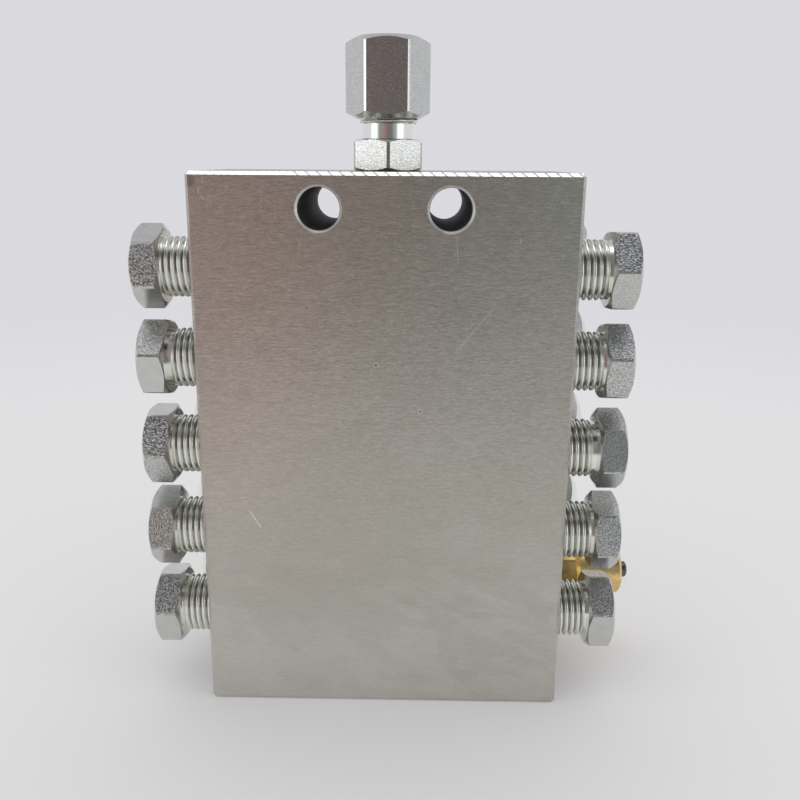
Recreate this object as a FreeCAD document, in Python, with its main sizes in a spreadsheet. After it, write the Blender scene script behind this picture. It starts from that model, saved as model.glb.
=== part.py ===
import FreeCAD, Part
import os
import re
import Sketcher

# A ten-outlet progressive grease divider, drilled in one steel block.
# Frame: origin at the middle of the block's bottom face, +Z up, the mounting face at -Y,
# outlets at -X and +X. Millimetres.

ROWS = range(1, 6)          # row 1 is the top row
SIDES = {"left": -1, "right": 1}

SIZES = {
    # the block
    "block_width": 60,              # between the two outlet sides
    "block_depth": 30,
    "block_height": 90,
    "edge_chamfer": 0.5,
    "row_pitch": 15,
    "first_row_height": 15,         # lowest row above the bottom face
    "outlet_inset": 7,              # outlet axes, behind the mounting face
    "piston_inset": 8,              # piston axes, in front of the opposite face
    "mount_hole_dia": 6.4,
    "mount_hole_spacing": 20,
    "mount_hole_drop": 5.4,         # hole axes below the top face
    "mount_hole_chamfer": 0.45,
    # threads, drawn plain at their outside diameter
    "thread_dia": 9.8,
    "thread_clearance": 0.1,        # radial, between a drawn thread and its hole
    "thread_mouth_chamfer": 0.4,
    "thread_tip_chamfer": 0.6,
    # outlet ports
    "port_depth": 10,
    "tube_dia": 6,
    "tube_clearance": 0.1,          # radial, round the tube
    "seat_mouth_dia": 8,            # wide end of the cone that the ferrule seats in
    "seat_length": 4.2,
    "tube_stop_depth": 0.8,
    "outlet_drill_dia": 3,
    # piston bores, signal passages and inlet gallery
    "plug_port_depth": 9,
    "signal_drill_dia": 2,
    "signal_margin": 0.3,           # between the middle land and a signal passage
    "signal_overrun": 1.5,          # how far a slanted drilling runs into each bore
    "return_offset": 0.5,           # return drillings, from the middle to the mounting face
    "return_rise": 4.5,             # their top, above the top row
    "return_entry_rise": 2.5,       # where they reach the top end chamber, above the top row
    "return_entry_inset": 2,        # and in front of its axis
    "gallery_dia": 4,
    "gallery_overrun": 2,           # gallery end, below the lowest row
    "inlet_recess_dia": 11.2,
    "inlet_recess_width": 3,
    "inlet_port_depth": 9,
    # pistons
    "piston_dia": 8,
    "piston_clearance": 0.02,       # radial, a lapped fit
    "piston_stroke": 4,
    "piston_end_gap": 0.1,
    "piston_stub_dia": 5,
    "piston_stub_length": 2,
    "end_land_length": 4.5,
    "middle_land_length": 6.4,
    "piston_groove_dia": 5,
    "piston_edge_chamfer": 0.2,
    # union screws
    "screw_flats": 12,              # across flats
    "screw_corner_dia": 13.5,       # across the turned corners
    "screw_head_length": 4.9,
    "screw_face_dia": 12,           # outer end face, inside its chamfer
    "screw_shoulder_dia": 10,       # foot of the cone under the head
    "screw_reach": 9.7,             # head's end, beyond the side of the block
    "screw_length": 17.6,
    "screw_neck_dia": 8.7,
    "screw_neck_length": 1.5,
    "bore_mouth_chamfer": 0.5,
    # ferrules
    "ferrule_back_wall": 0.4,
    "ferrule_nose_wall": 0.4,
    "ferrule_tube_clearance": 0.05,
    "ferrule_seat_clearance": 0.02,
    # closure plugs and their washers
    "plug_flats": 12,
    "plug_corner_dia": 13.5,
    "plug_head_length": 5,
    "plug_crown_radius": 11,
    "washer_thickness": 1,
    "washer_dia": 13,
    "washer_clearance": 0.15,
    # cycle indicator
    "indicator_flats": 12,
    "indicator_corner_dia": 13.5,
    "indicator_hex_length": 5.9,
    "indicator_barrel_dia": 9,
    "indicator_barrel_length": 8,
    "indicator_chamfer": 0.5,
    "pin_dia": 3,
    "pin_clearance": 0.03,
    "pin_show": 1.6,                # pin beyond its housing with the piston home
    "pin_tail": 4,                  # pin inside the piston
    "pin_tip_chamfer": 0.3,
    "ring_section": 1.5,
    "ring_clearance": 0.05,
    "ring_groove_width": 2.2,
    "ring_place": 5.5,              # middle of the O-ring, inside the outer end
    # inlet connector, its tube nut
    "inlet_flats": 11,
    "inlet_corner_dia": 12.2,
    "inlet_hex_length": 5.05,
    "inlet_face_dia": 10.4,
    "inlet_stem_length": 7.5,
    "inlet_stem_taper": 0.25,       # radius lost from the hexagon to the tip
    "inlet_undercut_length": 0.8,
    "inlet_neck_dia": 8.3,
    "inlet_neck_length": 2.5,
    "inlet_top_thread": 7,
    "inlet_bore_dia": 3.5,
    "nut_flats": 12,
    "nut_corner_dia": 13.5,
    "nut_length": 13.1,
    "nut_face_dia": 10.4,
    "nut_lift": 8.2,                # nut's lower end above the top face
    # how far each hexagon is turned about its own axis, degrees
    "screw_turn_left_1": 37.7,
    "screw_turn_left_2": 13.7,
    "screw_turn_left_3": 57.7,
    "screw_turn_left_4": 45.8,
    "screw_turn_left_5": 9.9,
    "screw_turn_right_1": 3.7,
    "screw_turn_right_2": 14.2,
    "screw_turn_right_3": 41.7,
    "screw_turn_right_4": 42.2,
    "screw_turn_right_5": 16.5,
    "plug_turn_left_1": 25,
    "plug_turn_left_2": 8,
    "plug_turn_left_3": 41,
    "plug_turn_left_4": 17,
    "plug_turn_left_5": 52,
    "plug_turn_right_1": 34,
    "plug_turn_right_2": 12,
    "plug_turn_right_3": 16,
    "plug_turn_right_4": 10,
    "indicator_turn": 38,
    "inlet_turn": 2.4,
    "nut_turn": 30,
}

# Formulas that several pieces share. A formula names sizes by their aliases.
PISTON_BORE = "(piston_dia + 2 * piston_clearance)"
THREAD_BORE = "(thread_dia + 2 * thread_clearance)"
TUBE_BORE = "(tube_dia + 2 * tube_clearance)"
PISTON_LENGTH = "(block_width - 2 * plug_port_depth - piston_stroke - 2 * piston_end_gap)"
# The outlet drillings meet the end lands' inner edges at mid stroke, so a land covers one of
# them at each end. The signal passages stay clear of the middle land, in the end chambers below.
OUTLET_PLACE = f"({PISTON_LENGTH} / 2 - piston_stub_length - end_land_length)"
SIGNAL_PLACE = "((middle_land_length + piston_stroke + signal_drill_dia) / 2 + signal_margin)"
CHAMBER_PLACE = "(block_width / 2 - plug_port_depth - signal_drill_dia / 2)"
OUTLET_Y = "(outlet_inset - block_depth / 2)"
PISTON_Y = "(block_depth / 2 - piston_inset)"
SCREW_GAP = "(port_depth + screw_reach - screw_length)"      # screw tip to the port's bottom
CONE_DEPTH = "((seat_mouth_dia - tube_dia) / 2 - tube_clearance)"
FERRULE_WALLS = "(tube_dia / 2 + ferrule_tube_clearance + ferrule_back_wall)"
FERRULE_BACK = f"({CONE_DEPTH} + {TUBE_BORE} / 2 - ferrule_seat_clearance - {FERRULE_WALLS})"
TAN_30 = "tan(30)"

doc = FreeCAD.newDocument("grease_divider")


def make_sheet():
    """One row for each size: its name, and its value with that name as the alias."""
    sheet = doc.addObject("Spreadsheet::Sheet", "Sizes")
    for row, (alias, value) in enumerate(SIZES.items(), start=1):
        sheet.set(f"A{row}", alias)
        sheet.set(f"B{row}", str(value))
        sheet.setAlias(f"B{row}", alias)
    doc.recompute()


def formula(text):
    """Point every alias of a formula to the sheet."""
    return re.sub(r"\b([a-z]+(?:_[a-z0-9]+)+)\b", r"Sizes.\1", str(text))


def bind(thing, prop, text):
    thing.setExpression(prop, formula(text))


def place(thing, position, turn):
    """Bind a placement: a position, and the turns about Z, Y and X, the last one first."""
    x, y, z = position
    about_z, about_y, about_x = turn
    bind(thing, "Placement", f"placement(vector({x}; {y}; {z}); "
                             f"rotation({about_z}; {about_y}; {about_x}))")


def row_height(row):
    return f"(first_row_height + {len(ROWS) - row} * row_pitch)"


# Solids of revolution with milled flats

def sketch_in(body, name, role):
    plane = [item for item in body.Origin.OriginFeatures if item.Role == role][0]
    sketch = body.newObject("Sketcher::SketchObject", name)
    sketch.AttachmentSupport = [(plane, "")]
    sketch.MapMode = "FlatFace"
    return sketch


def draw_outline(sketch, points):
    """A closed outline of straight lines, with both coordinates of each corner bound."""
    count = len(points)
    corners = [FreeCAD.Vector(10 + index, 10 + index % 3, 0) for index in range(count)]
    for index in range(count):
        sketch.addGeometry(Part.LineSegment(corners[index], corners[(index + 1) % count]), False)
    for index in range(count):
        sketch.addConstraint(Sketcher.Constraint("Coincident", index, 2, (index + 1) % count, 1))
    for index, (along, out) in enumerate(points):
        for kind, text, axis in (("DistanceX", along, -2), ("DistanceY", out, -1)):
            if text == 0:
                sketch.addConstraint(Sketcher.Constraint("PointOnObject", index, 1, axis))
            else:
                number = sketch.addConstraint(Sketcher.Constraint(kind, index, 1, 10.0))
                bind(sketch, f"Constraints[{number}]", text)


def turned(name, points):
    """A body turned about its own X axis. The points are (along the axis, radius)."""
    body = doc.addObject("PartDesign::Body", name)
    sketch = sketch_in(body, f"{name}_profile", "XY_Plane")
    draw_outline(sketch, points)
    turning = body.newObject("PartDesign::Revolution", f"{name}_turning")
    turning.Profile = sketch
    turning.ReferenceAxis = (sketch, ["H_Axis"])
    turning.Angle = 360
    return body


def mill_hexagon(body, flats, corner_dia, length, start=0):
    """Mill six flats on a turned head, over a length from a place on its axis."""
    sketch = sketch_in(body, f"{body.Name}_flat", "YZ_Plane")
    bind(sketch, "AttachmentOffset.Base.z", start)
    draw_outline(sketch, [(f"-{corner_dia}", f"{flats} / 2"), (corner_dia, f"{flats} / 2"),
                          (corner_dia, corner_dia), (f"-{corner_dia}", corner_dia)])
    pocket = body.newObject("PartDesign::Pocket", f"{body.Name}_milling")
    pocket.Profile = sketch
    pocket.Type = "Length"
    pocket.Reversed = True
    bind(pocket, "Length", length)
    pattern = body.newObject("PartDesign::PolarPattern", f"{body.Name}_flats")
    pattern.Originals = [pocket]
    pattern.Axis = (sketch, ["N_Axis"])
    pattern.Angle = 360
    pattern.Occurrences = 6
    body.Tip = pattern


def repeat(master, label, position, turn):
    """One more piece of a kind that is already drawn."""
    copy = doc.addObject("App::Link", label)
    copy.LinkedObject = master
    copy.Label = label
    place(copy, position, turn)
    return copy


# Drillings of the block

def drill(name, dia, start, end):
    """A drilling between two points, as a cylinder. Its turn takes +Z to its direction."""
    hole = doc.addObject("Part::Cylinder", name)
    bind(hole, "Radius", f"{dia} / 2")
    step = [f"(({b}) - ({a}))" for a, b in zip(start, end)]
    length = "sqrt(" + " + ".join(f"{s} * {s}" for s in step) + ")"
    bind(hole, "Height", length)
    x, y, z = start
    if start[:2] == end[:2]:
        turn = "rotation(0; 0; 0)"
    else:
        turn = f"rotation(vector(-{step[1]}; {step[0]}; 0); acos({step[2]} / {length}))"
    bind(hole, "Placement", f"placement(vector({x}; {y}; {z}); {turn})")
    return hole


def countersink(name, small_dia, large_dia, mouth, depth, turn):
    """A cone that opens at its mouth. The turn takes +Z to the way into the metal."""
    cone = doc.addObject("Part::Cone", name)
    bind(cone, "Radius1", f"{large_dia} / 2")
    bind(cone, "Radius2", f"{small_dia} / 2")
    bind(cone, "Height", depth)
    place(cone, mouth, turn)
    return cone


def outlet_drillings(side, row):
    """Thread, cone seat, tube stop and the two drillings that lead to the piston bore."""
    sign = SIDES[side]
    name = f"outlet_{side}_{row}"
    y = OUTLET_Y
    z = row_height(row)
    face = f"{sign} * block_width / 2"
    inward = (0, -90 * sign, 0)
    bottom = f"({face} - {sign} * port_depth)"
    seat_end = f"({bottom} - {sign} * seat_length)"
    stop = f"({seat_end} - {sign} * tube_stop_depth)"
    cross = f"({sign} * {OUTLET_PLACE})"
    return [
        drill(f"{name}_thread", THREAD_BORE, (face, y, z), (bottom, y, z)),
        countersink(f"{name}_mouth", THREAD_BORE, f"({THREAD_BORE} + 2 * thread_mouth_chamfer)",
                    (face, y, z), "thread_mouth_chamfer", inward),
        countersink(f"{name}_seat", TUBE_BORE, "seat_mouth_dia", (bottom, y, z), "seat_length",
                    inward),
        drill(f"{name}_stop", TUBE_BORE, (seat_end, y, z), (stop, y, z)),
        drill(f"{name}_lead", "outlet_drill_dia", (stop, y, z), (cross, y, z)),
        drill(f"{name}_cross", "outlet_drill_dia", (cross, y, z), (cross, PISTON_Y, z)),
    ]


def piston_drillings(row):
    """A bore right through, an inlet recess in its middle and a plug port at each end."""
    y = PISTON_Y
    z = row_height(row)
    cuts = [
        drill(f"bore_{row}", PISTON_BORE, ("-block_width / 2", y, z), ("block_width / 2", y, z)),
        drill(f"recess_{row}", "inlet_recess_dia", ("-inlet_recess_width / 2", y, z),
              ("inlet_recess_width / 2", y, z)),
    ]
    for side, sign in SIDES.items():
        face = f"{sign} * block_width / 2"
        bottom = f"({face} - {sign} * plug_port_depth)"
        cuts.append(drill(f"plug_port_{side}_{row}", THREAD_BORE, (face, y, z), (bottom, y, z)))
    return cuts


def signal_drillings(side, row):
    """A slanted drilling from one bore to the end chamber of the bore below it."""
    sign = SIDES[side]
    across = f"({CHAMBER_PLACE} - {SIGNAL_PLACE})"
    down = f"(row_pitch - {PISTON_BORE})"
    share = f"(signal_overrun / sqrt({across} * {across} + {down} * {down}))"
    upper = (f"{sign} * ({SIGNAL_PLACE} - {share} * {across})", PISTON_Y,
             f"{row_height(row)} - {PISTON_BORE} / 2 + {share} * {down}")
    lower = (f"{sign} * ({CHAMBER_PLACE} + {share} * {across})", PISTON_Y,
             f"{row_height(row + 1)} + {PISTON_BORE} / 2 - {share} * {down}")
    return drill(f"signal_{side}_{row}", "signal_drill_dia", lower, upper)


def return_drillings(side):
    """From the lowest bore up to the end chamber of the top bore."""
    sign = SIDES[side]
    x = f"({sign} * {SIGNAL_PLACE})"
    y = "(-return_offset)"
    low = row_height(ROWS[-1])
    top = f"({row_height(ROWS[0])} + return_rise)"
    entry = (f"{sign} * {CHAMBER_PLACE}", f"({PISTON_Y} - return_entry_inset)",
             f"({row_height(ROWS[0])} + return_entry_rise)")
    return [
        drill(f"return_{side}_foot", "signal_drill_dia", (x, y, low), (x, PISTON_Y, low)),
        drill(f"return_{side}_riser", "signal_drill_dia", (x, y, low), (x, y, top)),
        drill(f"return_{side}_entry", "signal_drill_dia", (x, y, top), entry),
    ]


def inlet_drillings():
    """The threaded port in the top face, and the gallery that feeds every bore's recess."""
    bottom = "(block_height - inlet_port_depth)"
    low = f"({row_height(ROWS[-1])} - gallery_overrun)"
    return [
        drill("inlet_port", THREAD_BORE, (0, 0, bottom), (0, 0, "block_height")),
        drill("gallery", "gallery_dia", (0, 0, low), (0, 0, bottom)),
    ]


def mounting_drillings():
    """Two plain holes through the depth, chamfered at both ends."""
    cuts = []
    wide = "(mount_hole_dia + 2 * mount_hole_chamfer)"
    z = "(block_height - mount_hole_drop)"
    for side, sign in SIDES.items():
        x = f"{sign} * mount_hole_spacing / 2"
        front = (x, "-block_depth / 2", z)
        back = (x, "block_depth / 2", z)
        cuts += [
            drill(f"mount_{side}", "mount_hole_dia", front, back),
            countersink(f"mount_{side}_front", "mount_hole_dia", wide, front,
                        "mount_hole_chamfer", (0, 0, -90)),
            countersink(f"mount_{side}_back", "mount_hole_dia", wide, back,
                        "mount_hole_chamfer", (0, 0, 90)),
        ]
    return cuts


def make_block():
    blank = doc.addObject("Part::Box", "blank")
    bind(blank, "Length", "block_width")
    bind(blank, "Width", "block_depth")
    bind(blank, "Height", "block_height")
    place(blank, ("-block_width / 2", "-block_depth / 2", 0), (0, 0, 0))
    doc.recompute()
    eased = doc.addObject("Part::Chamfer", "eased_blank")
    eased.Base = blank
    eased.Edges = [(number, SIZES["edge_chamfer"], SIZES["edge_chamfer"])
                   for number in range(1, len(blank.Shape.Edges) + 1)]
    cuts = mounting_drillings() + inlet_drillings()
    for row in ROWS:
        cuts += piston_drillings(row)
        for side in SIDES:
            cuts += outlet_drillings(side, row)
            if row != ROWS[-1]:
                cuts.append(signal_drillings(side, row))
    for side in SIDES:
        cuts += return_drillings(side)
    drillings = doc.addObject("Part::MultiFuse", "drillings")
    drillings.Shapes = cuts
    block = doc.addObject("Part::Cut", "block")
    block.Base = eased
    block.Tool = drillings
    return [block]


# Fittings. Each is drawn with its outer end at its own origin and +X into the block.

def union_screw():
    """Hollow hexagon screw: chamfered head, cone below it, plain neck, thread, cone in its tip."""
    corner = "screw_corner_dia / 2"
    head = "screw_head_length"
    shoulder = f"(screw_head_length - ({corner} - screw_shoulder_dia / 2) * {TAN_30})"
    neck_end = "(screw_head_length + screw_neck_length)"
    rise = "(thread_dia - screw_neck_dia) / 2"
    crest = "thread_dia / 2"
    bore = f"{TUBE_BORE} / 2"
    body = turned("union_screw", [
        (0, f"{bore} + bore_mouth_chamfer"),
        (0, "screw_face_dia / 2"),
        (f"({corner} - screw_face_dia / 2) * {TAN_30}", corner),
        (shoulder, corner),
        (head, "screw_shoulder_dia / 2"),
        (head, "screw_neck_dia / 2"),
        (f"{neck_end} - {rise}", "screw_neck_dia / 2"),
        (neck_end, crest),
        ("screw_length - thread_tip_chamfer", crest),
        ("screw_length", f"{crest} - thread_tip_chamfer"),
        ("screw_length", "seat_mouth_dia / 2"),
        (f"screw_length - {CONE_DEPTH}", bore),
        ("bore_mouth_chamfer", bore),
    ])
    mill_hexagon(body, "screw_flats", "screw_corner_dia", head)
    return body


def ferrule():
    """Cutting ring: a 45 degree back for the screw's cone, a collar, and a nose for the seat."""
    bore = "tube_dia / 2 + ferrule_tube_clearance"
    back = f"({bore} + ferrule_back_wall)"
    nose = f"({bore} + ferrule_nose_wall)"
    collar = "(seat_mouth_dia / 2 - ferrule_seat_clearance)"
    slope = f"(seat_length / {CONE_DEPTH})"
    back_length = f"({collar} - {back})"
    nose_length = f"({collar} - {nose}) * {slope}"
    return turned("ferrule", [
        (0, bore),
        (0, back),
        (back_length, collar),
        (f"{back_length} + {SCREW_GAP}", collar),
        (f"{back_length} + {SCREW_GAP} + {nose_length}", nose),
        (f"{back_length} + {SCREW_GAP} + {nose_length}", bore),
    ])


def closure_plug():
    """Hexagon plug with a crowned end, on a plain drawn thread."""
    corner = "plug_corner_dia / 2"
    crest = "thread_dia / 2"
    length = "(plug_head_length + washer_thickness + plug_port_depth)"
    body = turned("plug_body", [
        (0, 0),
        (0, corner),
        ("plug_head_length", corner),
        ("plug_head_length", crest),
        (f"{length} - thread_tip_chamfer", crest),
        (length, f"{crest} - thread_tip_chamfer"),
        (length, 0),
    ])
    mill_hexagon(body, "plug_flats", "plug_corner_dia", "plug_head_length")
    crown = doc.addObject("Part::Sphere", "plug_crown")
    bind(crown, "Radius", "plug_crown_radius")
    place(crown, ("plug_crown_radius", 0, 0), (0, 0, 0))
    plug = doc.addObject("Part::Common", "closure_plug")
    plug.Base = body
    plug.Tool = crown
    return plug


def washer():
    inner = "thread_dia / 2 + washer_clearance"
    return turned("washer", [
        (0, inner),
        (0, "washer_dia / 2"),
        ("washer_thickness", "washer_dia / 2"),
        ("washer_thickness", inner),
    ])


def piston_outline(tail_hole):
    """Half of a spool: end stubs, end lands, two grooves and the middle land."""
    land = "piston_dia / 2"
    stub = "piston_stub_dia / 2"
    groove = "piston_groove_dia / 2"
    ease = "piston_edge_chamfer"
    land_end = "(piston_stub_length + end_land_length)"
    middle = f"({PISTON_LENGTH} / 2)"
    half = "middle_land_length / 2"
    outline = [
        (0, stub),
        ("piston_stub_length", stub),
        ("piston_stub_length", f"{land} - {ease}"),
        (f"piston_stub_length + {ease}", land),
        (land_end, land),
        (land_end, groove),
        (f"{middle} - {half}", groove),
        (f"{middle} - {half}", land),
        (f"{middle} + {half}", land),
        (f"{middle} + {half}", groove),
        (f"{PISTON_LENGTH} - {land_end}", groove),
        (f"{PISTON_LENGTH} - {land_end}", land),
        (f"{PISTON_LENGTH} - piston_stub_length - {ease}", land),
        (f"{PISTON_LENGTH} - piston_stub_length", f"{land} - {ease}"),
        (f"{PISTON_LENGTH} - piston_stub_length", stub),
        (PISTON_LENGTH, stub),
    ]
    if tail_hole:
        outline += [
            (PISTON_LENGTH, "pin_dia / 2"),
            (f"{PISTON_LENGTH} - pin_tail", "pin_dia / 2"),
            (f"{PISTON_LENGTH} - pin_tail", 0),
        ]
    else:
        outline.append((PISTON_LENGTH, 0))
    return outline + [(0, 0)]


def indicator_housing():
    """Brass housing of the indicator: barrel, hexagon, thread, pin bore and O-ring groove."""
    barrel = "indicator_barrel_dia / 2"
    corner = "indicator_corner_dia / 2"
    crest = "thread_dia / 2"
    bore = "pin_dia / 2 + pin_clearance"
    groove = "pin_dia / 2 + 2 * ring_clearance + ring_section"
    slope = f"({corner} - {barrel}) * {TAN_30}"
    hex_end = "(indicator_barrel_length + indicator_hex_length)"
    length = f"({hex_end} + washer_thickness + plug_port_depth)"
    body = turned("indicator_housing", [
        (0, bore),
        (0, f"{barrel} - indicator_chamfer"),
        ("indicator_chamfer", barrel),
        ("indicator_barrel_length", barrel),
        (f"indicator_barrel_length + {slope}", corner),
        (hex_end, corner),
        (hex_end, crest),
        (f"{length} - thread_tip_chamfer", crest),
        (length, f"{crest} - thread_tip_chamfer"),
        (length, bore),
        ("ring_place + ring_groove_width / 2", bore),
        ("ring_place + ring_groove_width / 2", groove),
        ("ring_place - ring_groove_width / 2", groove),
        ("ring_place - ring_groove_width / 2", bore),
    ])
    mill_hexagon(body, "indicator_flats", "indicator_corner_dia", "indicator_hex_length",
                 "indicator_barrel_length")
    return body


def inlet_connector():
    """Screw-in connector: tapered stem, undercut, hexagon, neck and a thread with a cone seat."""
    corner = "inlet_corner_dia / 2"
    face = "inlet_face_dia / 2"
    neck = "inlet_neck_dia / 2"
    crest = "thread_dia / 2"
    bore = "inlet_bore_dia / 2"
    slope = f"({corner} - {face}) * {TAN_30}"
    hex_start = "inlet_stem_length"
    hex_end = "(inlet_stem_length + inlet_hex_length)"
    neck_end = f"({hex_end} + inlet_neck_length)"
    top = f"({neck_end} + inlet_top_thread)"
    socket = f"({top} - seat_length)"
    body = turned("inlet_connector", [
        (0, bore),
        (0, f"{crest} - inlet_stem_taper"),
        (f"{hex_start} - inlet_undercut_length", crest),
        (f"{hex_start} - inlet_undercut_length", neck),
        (hex_start, neck),
        (hex_start, face),
        (f"{hex_start} + {slope}", corner),
        (f"{hex_end} - {slope}", corner),
        (hex_end, face),
        (hex_end, neck),
        (f"{neck_end} - ({crest} - {neck})", neck),
        (neck_end, crest),
        (f"{top} - thread_tip_chamfer", crest),
        (top, f"{crest} - thread_tip_chamfer"),
        (top, "seat_mouth_dia / 2"),
        (socket, f"{TUBE_BORE} / 2"),
        (f"{socket} - tube_stop_depth", f"{TUBE_BORE} / 2"),
        (f"{socket} - tube_stop_depth", bore),
    ])
    mill_hexagon(body, "inlet_flats", "inlet_corner_dia", "inlet_hex_length", "inlet_stem_length")
    return body


def tube_nut():
    """Tube nut: six flats over its length, coned ends, thread bore and a cone for the ferrule."""
    corner = "nut_corner_dia / 2"
    face = "nut_face_dia / 2"
    slope = f"({corner} - {face}) * {TAN_30}"
    bore = f"{TUBE_BORE} / 2"
    thread = f"{THREAD_BORE} / 2"
    connector_top = "(inlet_hex_length + inlet_neck_length + inlet_top_thread - nut_lift)"
    cone_foot = f"({connector_top} + {SCREW_GAP})"
    body = turned("tube_nut", [
        (0, thread),
        (0, face),
        (slope, corner),
        (f"nut_length - {slope}", corner),
        ("nut_length", face),
        ("nut_length", f"{bore} + bore_mouth_chamfer"),
        ("nut_length - bore_mouth_chamfer", bore),
        (f"{cone_foot} + {CONE_DEPTH}", bore),
        (f"{cone_foot} + seat_mouth_dia / 2 - {thread}", thread),
    ])
    mill_hexagon(body, "nut_flats", "nut_corner_dia", "nut_length")
    return body


def make_outlets():
    """A union screw and a ferrule in each outlet port."""
    screw = union_screw()
    ring = ferrule()
    pieces = []
    for side, sign in SIDES.items():
        yaw = 90 + 90 * sign
        for row in ROWS:
            z = row_height(row)
            reach = f"{sign} * (block_width / 2 + screw_reach)"
            ring_end = f"{sign} * (block_width / 2 + screw_reach - screw_length + {FERRULE_BACK})"
            pieces += [
                repeat(screw, f"union_screw_{side}_{row}", (reach, OUTLET_Y, z),
                       (yaw, 0, f"{sign} * screw_turn_{side}_{row}")),
                repeat(ring, f"ferrule_{side}_{row}", (ring_end, OUTLET_Y, z), (yaw, 0, 0)),
            ]
    return pieces


def make_closures():
    """A closure plug and a washer at each bore's end, apart from the indicator's."""
    plug = closure_plug()
    seal = washer()
    pieces = []
    for side, sign in SIDES.items():
        yaw = 90 + 90 * sign
        for row in ROWS:
            z = row_height(row)
            washer_face = f"{sign} * (block_width / 2 + washer_thickness)"
            pieces.append(repeat(seal, f"plug_washer_{side}_{row}",
                                 (washer_face, PISTON_Y, z), (yaw, 0, 0)))
            if (side, row) != ("right", ROWS[-1]):
                end = f"{sign} * (block_width / 2 + washer_thickness + plug_head_length)"
                pieces.append(repeat(plug, f"closure_plug_{side}_{row}", (end, PISTON_Y, z),
                                     (yaw, 0, f"{sign} * plug_turn_{side}_{row}")))
    return pieces


def make_pistons():
    """Five pistons, each home at its left end."""
    plain = turned("piston", piston_outline(tail_hole=False))
    home = "(-block_width / 2 + plug_port_depth + piston_end_gap)"
    pieces = []
    for row in ROWS[:-1]:
        pieces.append(repeat(plain, f"piston_{row}", (home, PISTON_Y, row_height(row)),
                             (0, 0, 0)))
    last = turned(f"piston_{ROWS[-1]}", piston_outline(tail_hole=True))
    place(last, (home, PISTON_Y, row_height(ROWS[-1])), (0, 0, 0))
    return pieces + [last]


def make_indicator():
    """The brass housing, its O-ring, and the pin that the lowest piston carries."""
    z = row_height(ROWS[-1])
    end = "(block_width / 2 + washer_thickness + indicator_hex_length + indicator_barrel_length)"
    housing = indicator_housing()
    place(housing, (end, PISTON_Y, z), (180, 0, "indicator_turn"))
    ring = doc.addObject("Part::Torus", "indicator_o_ring")
    bind(ring, "Radius1", "pin_dia / 2 + ring_clearance + ring_section / 2")
    bind(ring, "Radius2", "ring_section / 2")
    place(ring, (f"{end} - ring_place", PISTON_Y, z), (0, 90, 0))
    tail = f"(-block_width / 2 + plug_port_depth + piston_end_gap + {PISTON_LENGTH} - pin_tail)"
    length = f"({end} + pin_show - {tail})"
    pin = turned("indicator_pin", [
        (0, 0),
        (0, "pin_dia / 2"),
        (f"{length} - pin_tip_chamfer", "pin_dia / 2"),
        (length, "pin_dia / 2 - pin_tip_chamfer"),
        (length, 0),
    ])
    place(pin, (tail, PISTON_Y, z), (0, 0, 0))
    return [housing, ring, pin]


def make_inlet():
    """The connector in the top face, its ferrule and its tube nut."""
    connector = inlet_connector()
    place(connector, (0, 0, "block_height - inlet_stem_length"), (0, -90, "inlet_turn"))
    nut = tube_nut()
    place(nut, (0, 0, "block_height + nut_lift"), (0, -90, "nut_turn"))
    top = "block_height + inlet_hex_length + inlet_neck_length + inlet_top_thread"
    ring = repeat(doc.getObject("ferrule"), "inlet_ferrule",
                  (0, 0, f"{top} + {SCREW_GAP} + {FERRULE_BACK}"), (0, 90, 0))
    return [connector, nut, ring]


def check_document():
    """Stop if any object of the document failed to build."""
    for thing in doc.Objects:
        if "Invalid" in thing.State or "Error" in thing.State:
            raise RuntimeError(f"{thing.Name} did not build: {thing.State}")


def export(pieces):
    """Write each piece to a file of its own name."""
    os.makedirs("parts", exist_ok=True)
    for piece in pieces:
        shape = Part.getShape(piece)
        if shape.isNull() or not shape.isValid():
            raise RuntimeError(f"{piece.Label} has no valid shape")
        shape.exportStep(f"parts/{piece.Label}.step")


make_sheet()
pieces = make_block() + make_outlets() + make_closures() + make_pistons()
pieces += make_indicator() + make_inlet()
doc.recompute()
check_document()
export(pieces)
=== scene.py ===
import math
import bmesh
import bpy
import numpy as np
from mathutils import Matrix, Vector


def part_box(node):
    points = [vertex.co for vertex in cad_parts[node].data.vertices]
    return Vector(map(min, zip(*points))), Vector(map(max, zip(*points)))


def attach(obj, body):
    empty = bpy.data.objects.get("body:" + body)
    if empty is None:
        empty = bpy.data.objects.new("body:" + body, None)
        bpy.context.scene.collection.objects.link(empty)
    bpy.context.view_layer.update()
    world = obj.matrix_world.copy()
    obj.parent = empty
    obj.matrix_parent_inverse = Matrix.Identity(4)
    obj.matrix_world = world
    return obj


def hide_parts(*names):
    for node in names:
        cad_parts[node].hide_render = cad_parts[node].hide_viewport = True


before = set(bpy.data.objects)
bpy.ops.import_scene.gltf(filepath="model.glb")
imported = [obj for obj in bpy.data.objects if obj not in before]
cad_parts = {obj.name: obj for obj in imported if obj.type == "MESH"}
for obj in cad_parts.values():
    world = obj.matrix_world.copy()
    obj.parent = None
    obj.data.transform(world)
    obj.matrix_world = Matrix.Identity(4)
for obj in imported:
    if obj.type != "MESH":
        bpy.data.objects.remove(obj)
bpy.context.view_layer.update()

# The looks of a grease divider: cut threads and milled hexagons on its fittings, and the
# finishes of its metals. Lengths are in millimetres up to the mesh, which is in metres.

MM = 0.001
FULL_TURN = 2 * math.pi
SIXTH = math.pi / 3
TAN_30 = math.tan(math.radians(30))
ROWS = range(1, 6)
ROW_PITCH = 15
INWARD = {"left": Vector((1, 0, 0)), "right": Vector((-1, 0, 0))}
DOWN = Vector((0, 0, -1))

# The thread, M10 x 1
PITCH = 1.0
CREST = 4.9
ROOT = 4.35
TIP_CHAMFER = 0.6
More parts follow.
